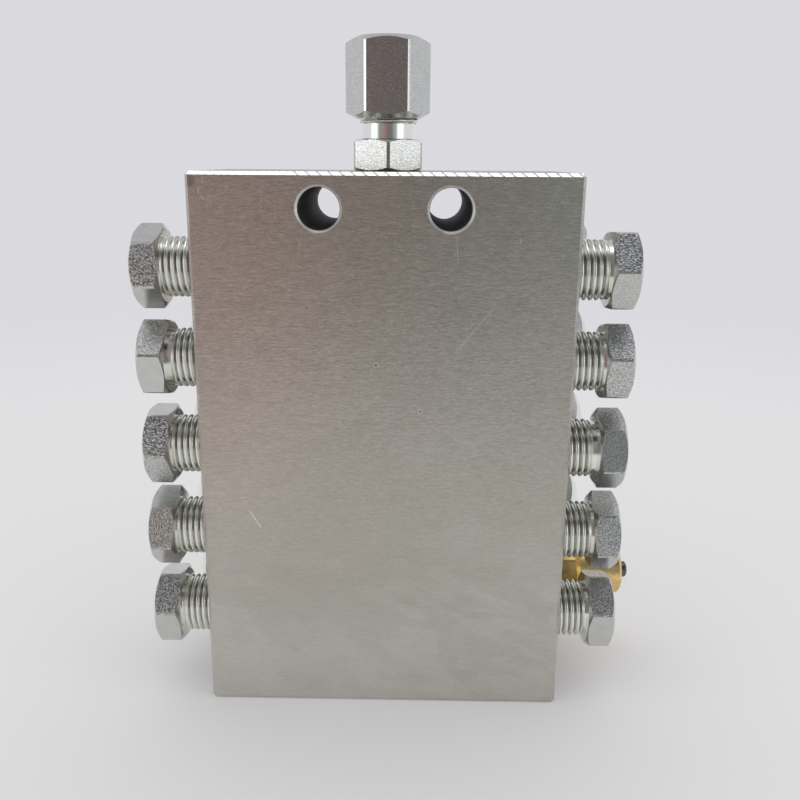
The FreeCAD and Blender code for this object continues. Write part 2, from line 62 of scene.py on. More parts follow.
# Height of the thread over one pitch: even steps from the middle of a root to the next. The
# flanks are at 60 degrees, and root and crest are round.
SLOPES = np.tan(np.radians([12, 38, 58, 61, 50, 28, 10, 2]))
CLIMB = np.cumsum([0, *SLOPES]) / SLOPES.sum()
THREAD_WAVE = np.concatenate([CLIMB[:-1], CLIMB[:0:-1]])
SHANK = 4.68
RUN_OUT = 0.4
CREST_DEPTH = 0.1

# Mouths for the tube: radius of the bore and of its cone
TUBE_BORE = 3.1
SEAT_MOUTH = 4.0
CONE_DEPTH = 0.9
MOUTH_CHAMFER = 0.5

# How the surfaces are sewn: points nearer than this become one, edges steeper than this many
# degrees are sharp, and the measures of two flats lie this far apart, so that their marks differ
MERGED = 0.001
SHARP = 27
FLAT_SHIFT = 20.0

# Corners of the hexagons, where they are turned off
CORNER = 6.81
INLET_CORNER = 6.2

# Union screws
SCREW_FLATS = 12
SCREW_HEAD = 4.45
SCREW_FACE = 5.85
SCREW_SHOULDER = 5.8

# Closure plugs
PLUG_FLATS = 12
PLUG_HEAD = 5
PLUG_CROWN = 11             # radius of the crown
CROWN_ROWS = 9
PLUG_TEAR = 0.1
PLUG_CUT = 0.5              # how roughly its flats are cut, beside those of a union screw
WASHER_NECK = 0.6           # plain length under a plug's or the indicator's hexagon

# Indicator
BARREL = 4.5
BARREL_LENGTH = 8
INDICATOR_FLATS = 12
INDICATOR_HEX = 5.9
INDICATOR_CHAMFER = 0.5
PIN_BORE = 1.53
RING_GROOVE = 3.1
RING_PLACE = 5.5
RING_WIDTH = 2.2

# Inlet connector and its tube nut
INLET_FLATS = 11
INLET_UNDERCUT = 0.8
INLET_NECK = 4.15
INLET_HEX = 5.05
INLET_FACE = 5.2
INLET_NECK_LENGTH = 2.5
INLET_NECK_CHAMFER = 0.2
INLET_TOP_THREAD = 7
INLET_BORE = 1.75
SEAT_LENGTH = 4.2
TUBE_STOP = 0.8
INLET_CUTS = [(0, 0.3, 90)]
INLET_TEAR = 0.5
NUT_FLATS = 12
NUT_FACE = 5.2
NUT_THREAD_BORE = 5.0
NUT_CONE_FOOT = 8.45
NUT_SHORT = 0.8             # the nut ends this far below the top of its node
NUT_CUTS = [(0, 0.17, 90)]
NUT_TEAR = 0.1

# Each union screw: its neck, where a crest of its thread comes on the mounting side, from its
# outer end, and how roughly its flats that face the room were cut. A flat is named by the way
# it faces, in degrees from the mounting side upwards. The cut is from 0, smooth, to 1, torn,
# and the lay is the turn of its marks, in degrees.
SCREWS = {
    "left_1": (0.0, 8.46, [(67, 0.12, 0), (8, 0.85, 40), (-52, 0.15, 20)]),
    "left_2": (0.9, 8.49, [(44, 0.42, 50), (-16, 0.04, 0), (104, 0.3, 0)]),
    "left_3": (0.1, 8.78, [(88, 0.1, 0), (28, 0.95, 10), (-32, 0.4, 0)]),
    "left_4": (0.1, 8.80, [(76, 0.2, 80), (16, 0.5, 90), (-44, 0.15, 30)]),
    "left_5": (0.1, 9.25, [(40, 0.65, 70), (-20, 0.04, 0), (100, 0.1, 0)]),
    "right_1": (0.3, 9.08, [(34, 1.0, 15), (-26, 0.22, 0), (94, 0.2, 0)]),
    "right_2": (0.2, 8.96, [(44, 0.6, -35), (-16, 0.45, 0), (104, 0.2, 0)]),
    "right_3": (1.0, 8.95, [(72, 0.5, 0), (12, 0.3, 60), (-48, 0.4, 0)]),
    "right_4": (0.3, 8.87, [(72, 0.4, 0), (12, 0.45, 50), (-48, 0.1, 0)]),
    "right_5": (0.5, 8.94, [(46, 0.5, 60), (-14, 0.06, 0), (106, 0.8, 0)]),
}
CORNER_TEAR = 0.7
LISTED_WITHIN = 8           # a flat this near to a listed way, in degrees, is the one meant
CHANCE_CUTS = [0.05, 0.15, 0.5]
CONES = 13                  # the number of the cones at both ends of a head
CONE_CUT = 0.08
# Height of the axes of the top row
TOP_ROW = sum(corner.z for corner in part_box("union_screw_left_1")) / 2 / MM

chance = np.random.default_rng(11)


# Surfaces. Every fitting is round or six-sided about an axis. It is drawn in its own frame,
# with its outer end at zero and the distance into the object along +Z.

class Skin:
    """A closed surface sewn from strips. A strip is a grid: rows along the axis, and columns
    from an angle of zero to a full turn. Where strips meet, their points are the same."""

    def __init__(self):
        self.points, self.faces, self.uv, self.flats, self.depth = [], [], [], [], []
        self.count = 0

    def strip(self, angles, along, radius, across=None, flats=None, depth=0.0):
        """Rows of points at a distance along the axis and a radius from it, one for each angle.
        Across is the second measure of the surface, in mm, flats the number of the flat that
        each column of faces lies in, 0 for none, and depth how far down a point is in a thread:
        0 outside threads, CREST_DEPTH on a crest and 1 in a root."""
        along, radius = np.broadcast_arrays(along, radius)
        rows, columns = along.shape
        self.points.append(np.stack([radius * np.cos(angles), radius * np.sin(angles), along],
                                    -1).reshape(-1, 3))
        corner = self.count + np.arange(rows - 1)[:, None] * columns + np.arange(columns - 1)
        self.faces.append(np.stack([corner, corner + 1, corner + columns + 1, corner + columns],
                                   -1).reshape(-1, 4))
        across = angles * CREST if across is None else across
        measure = np.stack([along, np.broadcast_to(across, along.shape)], -1)
        self.uv.append(np.stack([measure[:-1, :-1], measure[:-1, 1:], measure[1:, 1:],
                                 measure[1:, :-1]], 2).reshape(-1, 4, 2))
        number = np.zeros(columns - 1, int) if flats is None else flats
        self.flats.append(np.broadcast_to(number, (rows - 1, columns - 1)).reshape(-1))
        self.depth.append(np.broadcast_to(depth, along.shape).reshape(-1))
        self.count += rows * columns

    def piece(self, name, place, finish, cuts=None):
        """The mesh at its place, with its doubled points merged. Cuts gives each flat's number
        its roughness and the turn of its marks."""
        points = np.concatenate(self.points) @ np.array(place.to_3x3()).T * MM
        points += np.array(place.translation)
        faces, uv = np.concatenate(self.faces), np.concatenate(self.uv)
        flats = np.concatenate(self.flats)
        cut = np.zeros(len(faces), np.float32)
        for number, (roughness, lay) in (cuts or {}).items():
            chosen = flats == number
            turn = np.array([[math.cos(lay), math.sin(lay)], [-math.sin(lay), math.cos(lay)]])
            cut[chosen] = roughness
            uv[chosen] = uv[chosen] @ turn.T + FLAT_SHIFT * number
        mesh = bpy.data.meshes.new(name)
        mesh.from_pydata(points, [], faces.tolist())
        mesh.uv_layers.new(name="UVMap").data.foreach_set("uv", uv.reshape(-1))
        mesh.attributes.new("cut", "FLOAT", "FACE").data.foreach_set("value", cut)
        depth = np.concatenate(self.depth).astype(np.float32)
        mesh.attributes.new("depth", "FLOAT", "POINT").data.foreach_set("value", depth)
        sewn = bmesh.new()
        sewn.from_mesh(mesh)
        bmesh.ops.remove_doubles(sewn, verts=sewn.verts, dist=MERGED * MM)
        bmesh.ops.recalc_face_normals(sewn, faces=sewn.faces)
        sewn.to_mesh(mesh)
        sewn.free()
        mesh.shade_smooth()
        mesh.set_sharp_from_angle(angle=math.radians(SHARP))
        mesh.materials.append(finish)
        return put(name, mesh)


class Hexagon:
    """The outline round a hexagon whose corners are turned off: columns at both edges of each
    corner strip and at even steps between, and the radius and the measure across at each."""

    def __init__(self, flats, corner, first_corner, steps=10):
        half_strip = SIXTH / 2 - math.acos(flats / 2 / corner)
        sector = np.concatenate([[-half_strip, 0],
                                 np.linspace(half_strip, SIXTH - half_strip, steps, endpoint=False)])
        turned = (np.arange(6)[:, None] * SIXTH + sector).reshape(-1)
        turned = np.append(turned, turned[0] + FULL_TURN)
        middle = np.mod(turned, SIXTH) - SIXTH / 2
        self.angles = turned + first_corner
        self.radius = np.minimum(flats / 2 / np.cos(middle), corner)
        self.across = np.floor(turned / SIXTH) * flats * TAN_30 + self.radius * np.sin(middle)
        number = np.floor(turned[:-1] / SIXTH + 1e-9).astype(int) % 6
        strip = np.minimum(np.mod(turned[:-1] + half_strip, SIXTH), SIXTH) < 2 * half_strip - 1e-9
        strip_number = np.floor(turned[:-1] / SIXTH + 0.5).astype(int) % 6
        self.flats = np.where(strip, 7 + strip_number, 1 + number)
        self.first_corner = first_corner

    def faces_towards(self, flat):
        """The angle at the middle of a numbered flat."""
        return self.first_corner + (flat - 1 + 0.5) * SIXTH


def lathe(skin, outline, profile, flat=0):
    """Turned surfaces: one row for each (distance, radius) of the profile, each a number or an
    array with a value for every column. Flat is the number that its cut goes by."""
    columns = len(outline.angles)
    along = np.stack([np.broadcast_to(np.asarray(x, float), columns) for x, _ in profile])
    radius = np.stack([np.broadcast_to(np.asarray(r, float), columns) for _, r in profile])
    skin.strip(outline.angles, along, radius, flats=np.full(columns - 1, flat))


def screw_thread(skin, outline, start, end, crest=0.0):
    """A right-hand thread. Row k of K to the pitch lies at first + PITCH * (k / K + angle / full
    turn), held between start and end, so a row has climbed one pitch when it comes round. First
    is less than two pitches before the start, and puts a crest at the distance crest, at an
    angle of zero. The radius goes from the shank's to the root's plus the thread's height there,
    over the run-out."""
    steps = len(THREAD_WAVE)
    share = (outline.angles - outline.angles[0]) / FULL_TURN
    lead = -outline.angles[0] / FULL_TURN
    first = start - PITCH - (start - (crest - PITCH * (0.5 + lead))) % PITCH
    rows = np.arange(0, math.ceil((end - first) / PITCH) * steps + 1)[:, None]
    along = np.clip(first + PITCH * (rows / steps + share), start, end)
    height = np.broadcast_to(THREAD_WAVE[rows % steps], along.shape)
    full = np.clip((along - start) / RUN_OUT, 0, 1)
    radius = SHANK + full * (ROOT + (CREST - ROOT) * height - SHANK)
    radius = np.minimum(radius, CREST - TIP_CHAMFER + np.maximum(end - along, 0))
    radius[along >= end] = CREST - TIP_CHAMFER
    skin.strip(outline.angles, along, radius, depth=full * (1 - height * (1 - CREST_DEPTH)))


def put(name, data):
    """A new object in the scene, from its mesh, lamp or camera."""
    held = bpy.data.objects.new(name, data)
    bpy.context.collection.objects.link(held)
    return held


def sheet(name, points, faces, finish):
    mesh = bpy.data.meshes.new(name)
    mesh.from_pydata(points, [], faces)
    mesh.materials.append(finish)
    return put(name, mesh)


def standing(end, inward):
    """The frame of a fitting: its +Z into the object, and its +X to the mounting side."""
    front = Vector((0, -1, 0))
    side = inward.cross(front)
    return Matrix.Translation(end) @ Matrix((front, side, inward)).transposed().to_4x4()


def corner_angle(node, place):
    """The angle of a hexagon's corner, from where the node's points furthest out are."""
    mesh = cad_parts[node].data
    points = np.empty(len(mesh.vertices) * 3, np.float32)
    mesh.vertices.foreach_get("co", points)
    points = points.reshape(-1, 3) - np.array(place.translation)
    own = points @ np.array(place.to_3x3())
    radius = np.hypot(own[:, 0], own[:, 1])
    angles = np.arctan2(own[:, 1], own[:, 0])[radius > 0.995 * radius.max()]
    return math.atan2(np.sin(6 * angles).mean(), np.cos(6 * angles).mean()) / 6


def blank(node, inward, flats, corner=CORNER):
    """What a fitting is cut from: its frame at the outer end of its axis, its hexagon and its
    length, from the node's box. The node is round about that axis."""
    low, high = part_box(node)
    span = abs((high - low).dot(inward))
    place = standing((low + high) / 2 - inward * span / 2, inward)
    return place, Hexagon(flats, corner, corner_angle(node, place)), span / MM


# Finishes

class Value:
    """A number on a surface. Sums written with it become Math nodes."""

    def __init__(self, finish, socket):
        self.finish, self.socket = finish, socket

    def sum(self, operation, *terms):
        return self.finish.node("ShaderNodeMath", {"operation": operation},
                                dict(enumerate(terms)))[0]

    def __add__(self, other): return self.sum("ADD", self, other)
    def __radd__(self, other): return self.sum("ADD", other, self)
    def __sub__(self, other): return self.sum("SUBTRACT", self, other)
    def __rsub__(self, other): return self.sum("SUBTRACT", other, self)
    def __mul__(self, other): return self.sum("MULTIPLY", self, other)
    def __rmul__(self, other): return self.sum("MULTIPLY", other, self)
    def __truediv__(self, other): return self.sum("DIVIDE", self, other)
    def __pow__(self, other): return self.sum("POWER", self, other)
    def __abs__(self): return self.sum("ABSOLUTE", self)
    def least(self, other): return self.sum("MINIMUM", self, other)
    def most(self, other): return self.sum("MAXIMUM", self, other)
    def rest(self): return self.sum("FRACT", self)

    def rise(self, low, high):
        """0 up to low and 1 from high, with a soft slope between; falls where high is less."""
        return self.finish.node("ShaderNodeMapRange", {"interpolation_type": "SMOOTHSTEP"},
                                {"Value": self, "From Min": low, "From Max": high})[0]


class Finish:
    """One surface, built from nodes. The room is made in the same way, among the worlds."""

    def __init__(self, name, kind=bpy.data.materials):
        self.made = kind.new(name)
        self.made.use_nodes = True
        self.tree = self.made.node_tree
        self.tree.nodes.clear()

    def node(self, kind, settings=None, values=None):
        """Add a node of a kind: its settings first, then the values or links of its inputs.
        Gives its outputs, each as a Value."""
        made = self.tree.nodes.new(kind)
        for key, setting in (settings or {}).items():
            setattr(made, key, setting)
        for key, value in (values or {}).items():
            if isinstance(value, Value):
                self.tree.links.new(value.socket, made.inputs[key])
            else:
                made.inputs[key].default_value = value
        return [Value(self, socket) for socket in made.outputs]

    def place(self):
        """X, Y and Z on the object, in millimetres, and the three as one vector."""
        spot = self.node("ShaderNodeTexCoord")[3]
        scaled = self.node("ShaderNodeVectorMath", {"operation": "SCALE"},
                           {"Vector": spot, "Scale": 1 / MM})[0]
        return self.node("ShaderNodeSeparateXYZ", None, {"Vector": scaled}) + [scaled]

    def measures(self):
        """The surface's own two measures: along the axis and across it, in millimetres."""
        spot = self.node("ShaderNodeTexCoord")[2]
        return self.node("ShaderNodeSeparateXYZ", None, {"Vector": spot})[:2] + [spot]

    def attribute(self, name):
        return self.node("ShaderNodeAttribute", {"attribute_name": name})[2]

    def vector(self, x, y, z=0.0):
        return self.node("ShaderNodeCombineXYZ", None, {"X": x, "Y": y, "Z": z})[0]

    def noise(self, spot, scale, detail, roughness, distortion=0.0):
        return self.node("ShaderNodeTexNoise", None,
                         {"Vector": spot, "Scale": scale, "Detail": detail,
                          "Roughness": roughness, "Distortion": distortion})[0]

    def blend(self, share, first, second):
        """From the first colour to the second as the share goes from 0 to 1."""
        made = self.tree.nodes.new("ShaderNodeMix")
        made.data_type = "RGBA"
        self.tree.links.new(share.socket, made.inputs[0])
        for key, colour in ((6, first), (7, second)):
            if isinstance(colour, Value):
                self.tree.links.new(colour.socket, made.inputs[key])
            else:
                made.inputs[key].default_value = (*colour, 1.0)
        return Value(self, made.outputs[2])

    def bump(self, height, distance, strength=1.0):
        """Height is in units of the distance, which is in millimetres."""
        return self.node("ShaderNodeBump", None, {"Height": height, "Distance": distance * MM,
                                                  "Strength": strength})[0]

    def surface(self, colour, roughness, metallic, normal):
        shader = self.node("ShaderNodeBsdfPrincipled", None,
                           {"Base Color": colour, "Roughness": roughness, "Metallic": metallic,
                            "Normal": normal})[0]
        self.node("ShaderNodeOutputMaterial", None, {"Surface": shader})
        return self.made


def away_from(x, z, px, pz):
    """The distance along the mounting face from a place on it."""
    return ((x - px) * (x - px) + (z - pz) * (z - pz)) ** 0.5


def scratch(x, z, start, end, width):
    """1 on a straight scratch: the distance to the line between two points, less than its width."""
    (x0, z0), (x1, z1) = start, end
    length = math.hypot(x1 - x0, z1 - z0)
    ux, uz = (x1 - x0) / length, (z1 - z0) / length
    along = (x - x0) * ux + (z - z0) * uz
    aside = abs((x - x0) * uz - (z - z0) * ux)
    ends = along.rise(0, 0.15 * length) * along.rise(length, 0.85 * length)
    return aside.rise(width, 0.3 * width) * ends


# Scratches and nicks on the mounting face: start and end as (x, z), width, strength
FACE_SCRATCHES = [
    ((10.9, 80.9), (11.2, 76.4), 0.10, 0.5),
    ((17.5, 70.6), (10.6, 62.0), 0.10, 0.45),
    ((-22.3, 35.8), (-20.2, 32.4), 0.12, 0.7),
    ((-27.9, 87.7), (-28.0, 86.5), 0.14, 0.7),
    ((-27.7, 86.5), (-27.1, 85.8), 0.14, 0.7),
    ((-27.2, 89.3), (-27.3, 87.9), 0.09, 0.4),
    ((-23.7, 89.1), (-23.8, 86.8), 0.08, 0.35),
    ((-18.5, 87.9), (-18.7, 83.8), 0.08, 0.35),
    ((-16.4, 85.1), (-16.5, 82.6), 0.08, 0.3),
    ((-18.0, 81.0), (-16.8, 79.3), 0.09, 0.35),
    ((10.2, 61.5), (8.0, 58.9), 0.08, 0.25),
    ((2.6, 65.3), (3.4, 66.3), 0.09, 0.4),
    ((26.0, 88.8), (24.4, 84.2), 0.08, 0.3),
    ((13.2, 89.2), (13.2, 86.6), 0.07, 0.3),
    ((20.6, 80.5), (20.5, 79.6), 0.13, 0.6),
    ((-12.1, 83.6), (-13.4, 76.2), 0.08, 0.2),
]
# Where the upper left corner is worn dark: x, z and radius
WORN_CORNER = (-29.4, 88.6, 1.3)
# Small dents on the same face: x, z and radius
FACE_DENTS = [(-1.3, 60.6, 0.28), (5.8, 53.1, 0.26), (9.9, 57.5, 0.15), (12.2, 48.9, 0.16),
              (7.2, 43.7, 0.14), (10.9, 14.1, 0.16), (19.2, 34.6, 0.13), (8.4, 55.0, 0.14),
              (-6.5, 69.3, 0.14), (-18.4, 12.2, 0.15), (3.1, 27.5, 0.12)]
HOLES_X = (-10, 10)
HOLE_Z = 84.6
HOLE_RADIUS = 3.2
HOLE_RIM = 0.75
FRONT = -15
# The steps on the top edge's chamfer: their slant, and their widths left and right of a place
CHAMFER_MIDDLE = 89.75
CHAMFER_FOOT = 89.5
STEP_SLANT = 1.3
NARROW_STEP = 1.15
WIDE_STEP = 1.7
WIDE_FROM = -13.8
FIRST_WIDE_STEP = 6.3


def face_wear(x, y, z, grit):
    """On the mounting face: the scratches, the dents, the bright rims round them and the worn
    corner, each as a mask."""
    front = y.rise(FRONT + 0.1, FRONT + 0.01)
    marks, dents, rims = 0.0, 0.0, 0.0
    for start, end, width, strength in FACE_SCRATCHES:
        marks = scratch(x, z, start, end, width) * strength + marks
    for px, pz, size in FACE_DENTS:
        away = away_from(x, z, px, pz)
        dents = away.rise(size, 0.3 * size) + dents
        rims = away.rise(1.5 * size, 1.1 * size) * away.rise(0.6 * size, 1.1 * size) + rims
    px, pz, size = WORN_CORNER
    stain = (away_from(x, z, px, pz) + grit * size).rise(1.5 * size, size)
    return marks * front, dents * front, rims * front, stain * front


def mounting_holes(x, y, z):
    """Masks of the walls of the mounting holes, painted in shade, and of the rims of their mouths, a
    painted highlight.
    """
    left, right = [away_from(x, z, hx, HOLE_Z) for hx in HOLES_X]
    hole = left.least(right)
    shaded_hole_wall = hole.rise(HOLE_RADIUS + 0.08, HOLE_RADIUS + 0.02)
    rim_highlight = hole.rise(HOLE_RADIUS + HOLE_RIM, HOLE_RADIUS + 0.8 * HOLE_RIM)
    return shaded_hole_wall, rim_highlight * (1 - shaded_hole_wall) * y.rise(FRONT + 0.05, FRONT + 0.1)


def chamfer_steps(x, y, z):
    """Masks of the top edge's chamfer, which is painted near white as a highlight, and of the slanted
    steps that the cutter left along it.
    """
    slant = x + (z - CHAMFER_MIDDLE) * STEP_SLANT
    wide = slant.rise(WIDE_FROM - 0.1, WIDE_FROM + 0.1)
    steps = (wide * (slant - FIRST_WIDE_STEP) / WIDE_STEP + (1 - wide) * slant / NARROW_STEP).rest()
    chamfer_highlight = z.rise(CHAMFER_FOOT - 0.08, CHAMFER_FOOT) * y.rise(FRONT + 0.6, FRONT + 0.5)
    groove = abs(steps - 0.5).rise(0.13, 0.03) * (0.35 + wide * 0.65)
    return chamfer_highlight, chamfer_highlight * groove


def block_steel():
    """Plated steel over the lines of a face mill, which run across the object. The walls of the
    mounting holes are painted near black and dull, a painted shade, with the rings of the drill."""
    steel = Finish("block_steel")
    x, y, z, spot = steel.place()
    lines = steel.noise(steel.vector(x * 0.3, y * 0.3, z * 5), 1.0, 4, 0.7)
    dashes = steel.noise(steel.vector(x * 1.1 + 9, y * 1.1, z * 6), 1.0, 3, 0.7)
    grit = steel.noise(steel.vector(x * 3, y * 3, z * 6 + 5), 1.0, 3, 0.7)
    worn = 0.3 + z.rise(15, 75) * 0.7
    clouds = steel.noise(spot, 0.035, 3, 0.55)
    smears = steel.noise(steel.vector(x * 0.1 + z * 0.1, y * 0.1, z * 0.16), 1.0, 3, 0.5, 0.8)
    grime = steel.noise(steel.vector(x * 0.12, y * 0.12, z * 0.35), 1.0, 4, 0.6)
    rings = steel.noise(steel.vector(y * 2.2, 0.0), 1.0, 3, 0.7)
    marks, dents, rims, stain = face_wear(x, y, z, grit)
    shaded_hole_wall, rim_highlight = mounting_holes(x, y, z)
    chamfer_highlight, groove = chamfer_steps(x, y, z)
    # Its tones: warmer at the upper left, greener at the upper right, smeared below, and paler
    # towards the bottom left, a painted reflection of the lit floor in front
    colour = steel.blend(clouds.rise(0.35, 0.65), (0.50, 0.485, 0.43), (0.545, 0.525, 0.475))
    colour = steel.blend(x.rise(8, -32) * z.rise(10, 70) * 0.6, colour, (0.59, 0.455, 0.41))
    colour = steel.blend(x.rise(0, 26) * z.rise(45, 85) * 0.5, colour, (0.515, 0.535, 0.47))
    colour = steel.blend(smears.rise(0.5, 0.6) * z.rise(34, 14) * 0.22, colour, (0.72, 0.70, 0.64))
    colour = steel.blend(smears.rise(0.47, 0.38) * z.rise(34, 14) * 0.2, colour, (0.42, 0.42, 0.36))
    # Painted reflection of the lit floor: paler towards the bottom left
    colour = steel.blend(z.rise(26, 6) * x.rise(22, -8) * 0.6, colour, (0.66, 0.65, 0.60))
    # The lines, dashes and grit of the mill
    colour = steel.blend(lines.rise(0.42, 0.7) * worn * 0.3 + 0.04, colour, (0.32, 0.305, 0.27))
    colour = steel.blend(dashes.rise(0.5, 0.68) * worn * 0.45, colour, (0.78, 0.765, 0.71))
    colour = steel.blend(dashes.rise(0.5, 0.32) * worn * 0.4, colour, (0.25, 0.235, 0.20))
    colour = steel.blend(grit.rise(0.53, 0.7) * worn * 0.4, colour, (0.84, 0.82, 0.77))
    colour = steel.blend(grit.rise(0.44, 0.3) * worn * 0.35, colour, (0.22, 0.20, 0.17))
    colour = steel.blend(grime.rise(0.55, 0.8) * 0.2, colour, (0.32, 0.29, 0.24))
    # Scratches and dents; the chamfer, a painted highlight; and the holes, with painted highlights on
    # their rims and painted shade on their walls
    colour = steel.blend(marks.most(rims * 0.5), colour, (0.88, 0.87, 0.84))
    colour = steel.blend((dents * 0.7).most(stain * 0.5), colour, (0.16, 0.14, 0.12))
    # Painted highlight: the top chamfer is near white
    colour = steel.blend(chamfer_highlight * 0.95, colour, (0.96, 0.955, 0.94))
    colour = steel.blend(groove * 0.55, colour, (0.20, 0.19, 0.18))
    # Painted highlight on the holes' rims, and painted shade on their walls
    colour = steel.blend(rim_highlight * 0.7, colour, (0.92, 0.92, 0.91))
    colour = steel.blend(shaded_hole_wall * 0.95, colour, (0.02, 0.02, 0.02))
    height = (lines * 0.9 + dashes * 1.2 + grit * 0.4) * worn - marks * 0.6 - dents * 1.2 \
        + shaded_hole_wall * rings * 1.5 - groove * 2
    rough = 0.34 + lines * 0.14 - marks * 0.1 + shaded_hole_wall * 0.3 - chamfer_highlight * 0.2
    return steel.surface(colour, rough, 1 - shaded_hole_wall * 0.95, steel.bump(height, 0.02))


def fitting_zinc(name, tint):
    """Bright plating. Turned surfaces carry fine lines round them, and each flat has its own
    cut: smooth as drawn bar, or torn by the tool along the turn of its marks."""
    zinc = Finish(name)
    along, across, spot = zinc.measures()
    cut = zinc.attribute("cut")
    depth = zinc.attribute("depth")
    turned = zinc.noise(zinc.vector(along * 9, across * 0.12), 1.0, 3, 0.6)
    soft = zinc.noise(spot, 0.5, 3, 0.5)
    torn = zinc.noise(zinc.vector(along * 2.8, across * 5.0), 1.0, 3, 0.6, 0.5)
    ridges = zinc.noise(zinc.vector(along * 1.6 + 7, across * 7.0), 1.0, 3, 0.6, 1.0)
    fine = zinc.noise(spot, 6.0, 3, 0.6)
    relief = torn * 0.62 + ridges * 0.38
    hollow = relief.rise(0.51, 0.45) * cut
    crest = relief.rise(0.53, 0.58) * cut
    bare = cut.rise(0.03, 0.0)
    # Painted shade in the roots of a thread: they are darkened, and a little rougher
    root_shade = depth.rise(0.7, 1.0) * 0.6
    # The crests of a thread are painted pale and dull from a little above its middle down, a painted
    # highlight, more on the left than on the right.
    x, _, z = zinc.place()[:3]
    above = ((z - TOP_ROW) / ROW_PITCH + 0.5).rest() * ROW_PITCH - ROW_PITCH / 2
    crest_highlight = depth.rise(0.02, 0.09) * depth.rise(0.6, 0.3) * above.rise(2.6, 1.4)
    crest_highlight = crest_highlight * (1 - x.rise(-10, 10) * 0.5)
    colour = zinc.blend(soft.rise(0.3, 0.7), tint, tuple(1.08 * t for t in tint))
    colour = zinc.blend(bare, colour, (0.86, 0.87, 0.82))
    colour = zinc.blend(crest_highlight, colour, (0.91, 0.92, 0.86))
    # The cut flats are greyer, and more so on the right-hand fittings, a painted shade there
    colour = zinc.blend(cut * (0.35 + x.rise(-10, 10) * 0.4), colour, (0.48, 0.49, 0.49))
    # Painted shade and highlight on the torn flats: near black in the hollows of their relief, near
    # white and less metallic on its crests, less metallic still on the left
    colour = zinc.blend(hollow * 0.95, colour, (0.05, 0.055, 0.05))
    colour = zinc.blend(crest, colour, (0.97, 0.98, 0.97))
    colour = zinc.blend(fine.rise(0.62, 0.72) * 0.3, colour, (0.30, 0.30, 0.28))
    colour = zinc.blend(root_shade, colour, (0.10, 0.105, 0.095))
    rough = 0.13 + cut * 0.14 + turned * 0.08 + root_shade * 0.1 + crest_highlight * 0.1
    height = turned * 0.16 * (1 - cut) + fine * 0.2 + relief * cut * 4.0
    metallic = 1 - crest_highlight * 0.5 - crest * (0.4 - x.rise(-10, 10) * 0.3)
    return zinc.surface(colour, rough, metallic, zinc.bump(height, 0.035))


def indicator_brass():
    """Turned brass: fine lines round it and a slightly dull, darker tone in places."""
    brass = Finish("indicator_brass")
    along, across, spot = brass.measures()
    turned = brass.noise(brass.vector(along * 8, across * 0.1), 1.0, 3, 0.6)
    dull = brass.noise(spot, 0.6, 3, 0.5)
    colour = brass.blend(dull.rise(0.35, 0.7), (0.88, 0.66, 0.30), (0.68, 0.48, 0.19))
    rough = 0.24 + dull * 0.12 + turned * 0.06
    return brass.surface(colour, rough, 1.0, brass.bump(turned, 0.012, 0.8))


def plain_metal(name, light, dark, roughness, grain):
    """A small metal piece: two tones in soft patches, and a fine grain."""
    metal = Finish(name)
    spot = metal.place()[3]
    patches = metal.noise(spot, 0.7, 3, 0.5)
    fine = metal.noise(spot, 6.0, 2, 0.5)
    colour = metal.blend(patches.rise(0.35, 0.65), light, dark)
    return metal.surface(colour, roughness + patches * 0.1, 1.0, metal.bump(fine, grain, 0.8))


def ring_rubber():
    rubber = Finish("ring_rubber")
    spot = rubber.place()[3]
    fine = rubber.noise(spot, 5.0, 2, 0.5)
    colour = rubber.blend(fine, (0.02, 0.02, 0.02), (0.04, 0.04, 0.04))
    return rubber.surface(colour, 0.5 + fine * 0.1, 0.0, rubber.bump(fine, 0.01, 0.6))


BLOCK = block_steel()
ZINC = fitting_zinc("fitting_zinc", (0.59, 0.602, 0.575))
PLUG_ZINC = fitting_zinc("plug_zinc", (0.62, 0.63, 0.63))
BRASS = indicator_brass()
WASHER = plain_metal("washer_aluminium", (0.74, 0.74, 0.74), (0.62, 0.62, 0.63), 0.35, 0.01)
FERRULE = plain_metal("ferrule_steel", (0.60, 0.57, 0.48), (0.50, 0.48, 0.42), 0.3, 0.008)
PISTON = plain_metal("piston_steel", (0.58, 0.58, 0.59), (0.48, 0.48, 0.50), 0.14, 0.004)
PIN = plain_metal("pin_steel", (0.15, 0.15, 0.16), (0.10, 0.10, 0.11), 0.25, 0.006)
RUBBER = ring_rubber()


# Pieces

def flat_cuts(outline, place, facing, tear):
    """The cut of each flat and corner strip. Flats that aren't listed get one by chance."""
    cuts = {}
    for flat in range(1, 7):
        angle = outline.faces_towards(flat)
        towards = place.to_3x3() @ Vector((math.cos(angle), math.sin(angle), 0))
        way = math.degrees(math.atan2(towards.z, -towards.y))
        gaps = [(abs((way - f + 180) % 360 - 180), c, lay) for f, c, lay in facing]
        gap, cut, lay = min(gaps) if gaps else (360, 0, 0)
        if gap > LISTED_WITHIN:
            cut, lay = chance.choice(CHANCE_CUTS), chance.uniform(-60, 60)
        cuts[flat] = (cut, math.radians(lay))
        cuts[flat + 6] = (tear * chance.uniform(0.3, 1.0), 0.0)
    cuts[CONES] = (CONE_CUT, 0.0)
    return cuts


def finished(skin, node, place, finish, body="housing", cuts=None):
    """The piece stands for its node, rides on the node's body and takes its slot's finish."""
    piece = skin.piece(f"{node}_cut", place, finish, cuts)
    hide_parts(node)
    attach(piece, body)
    return piece


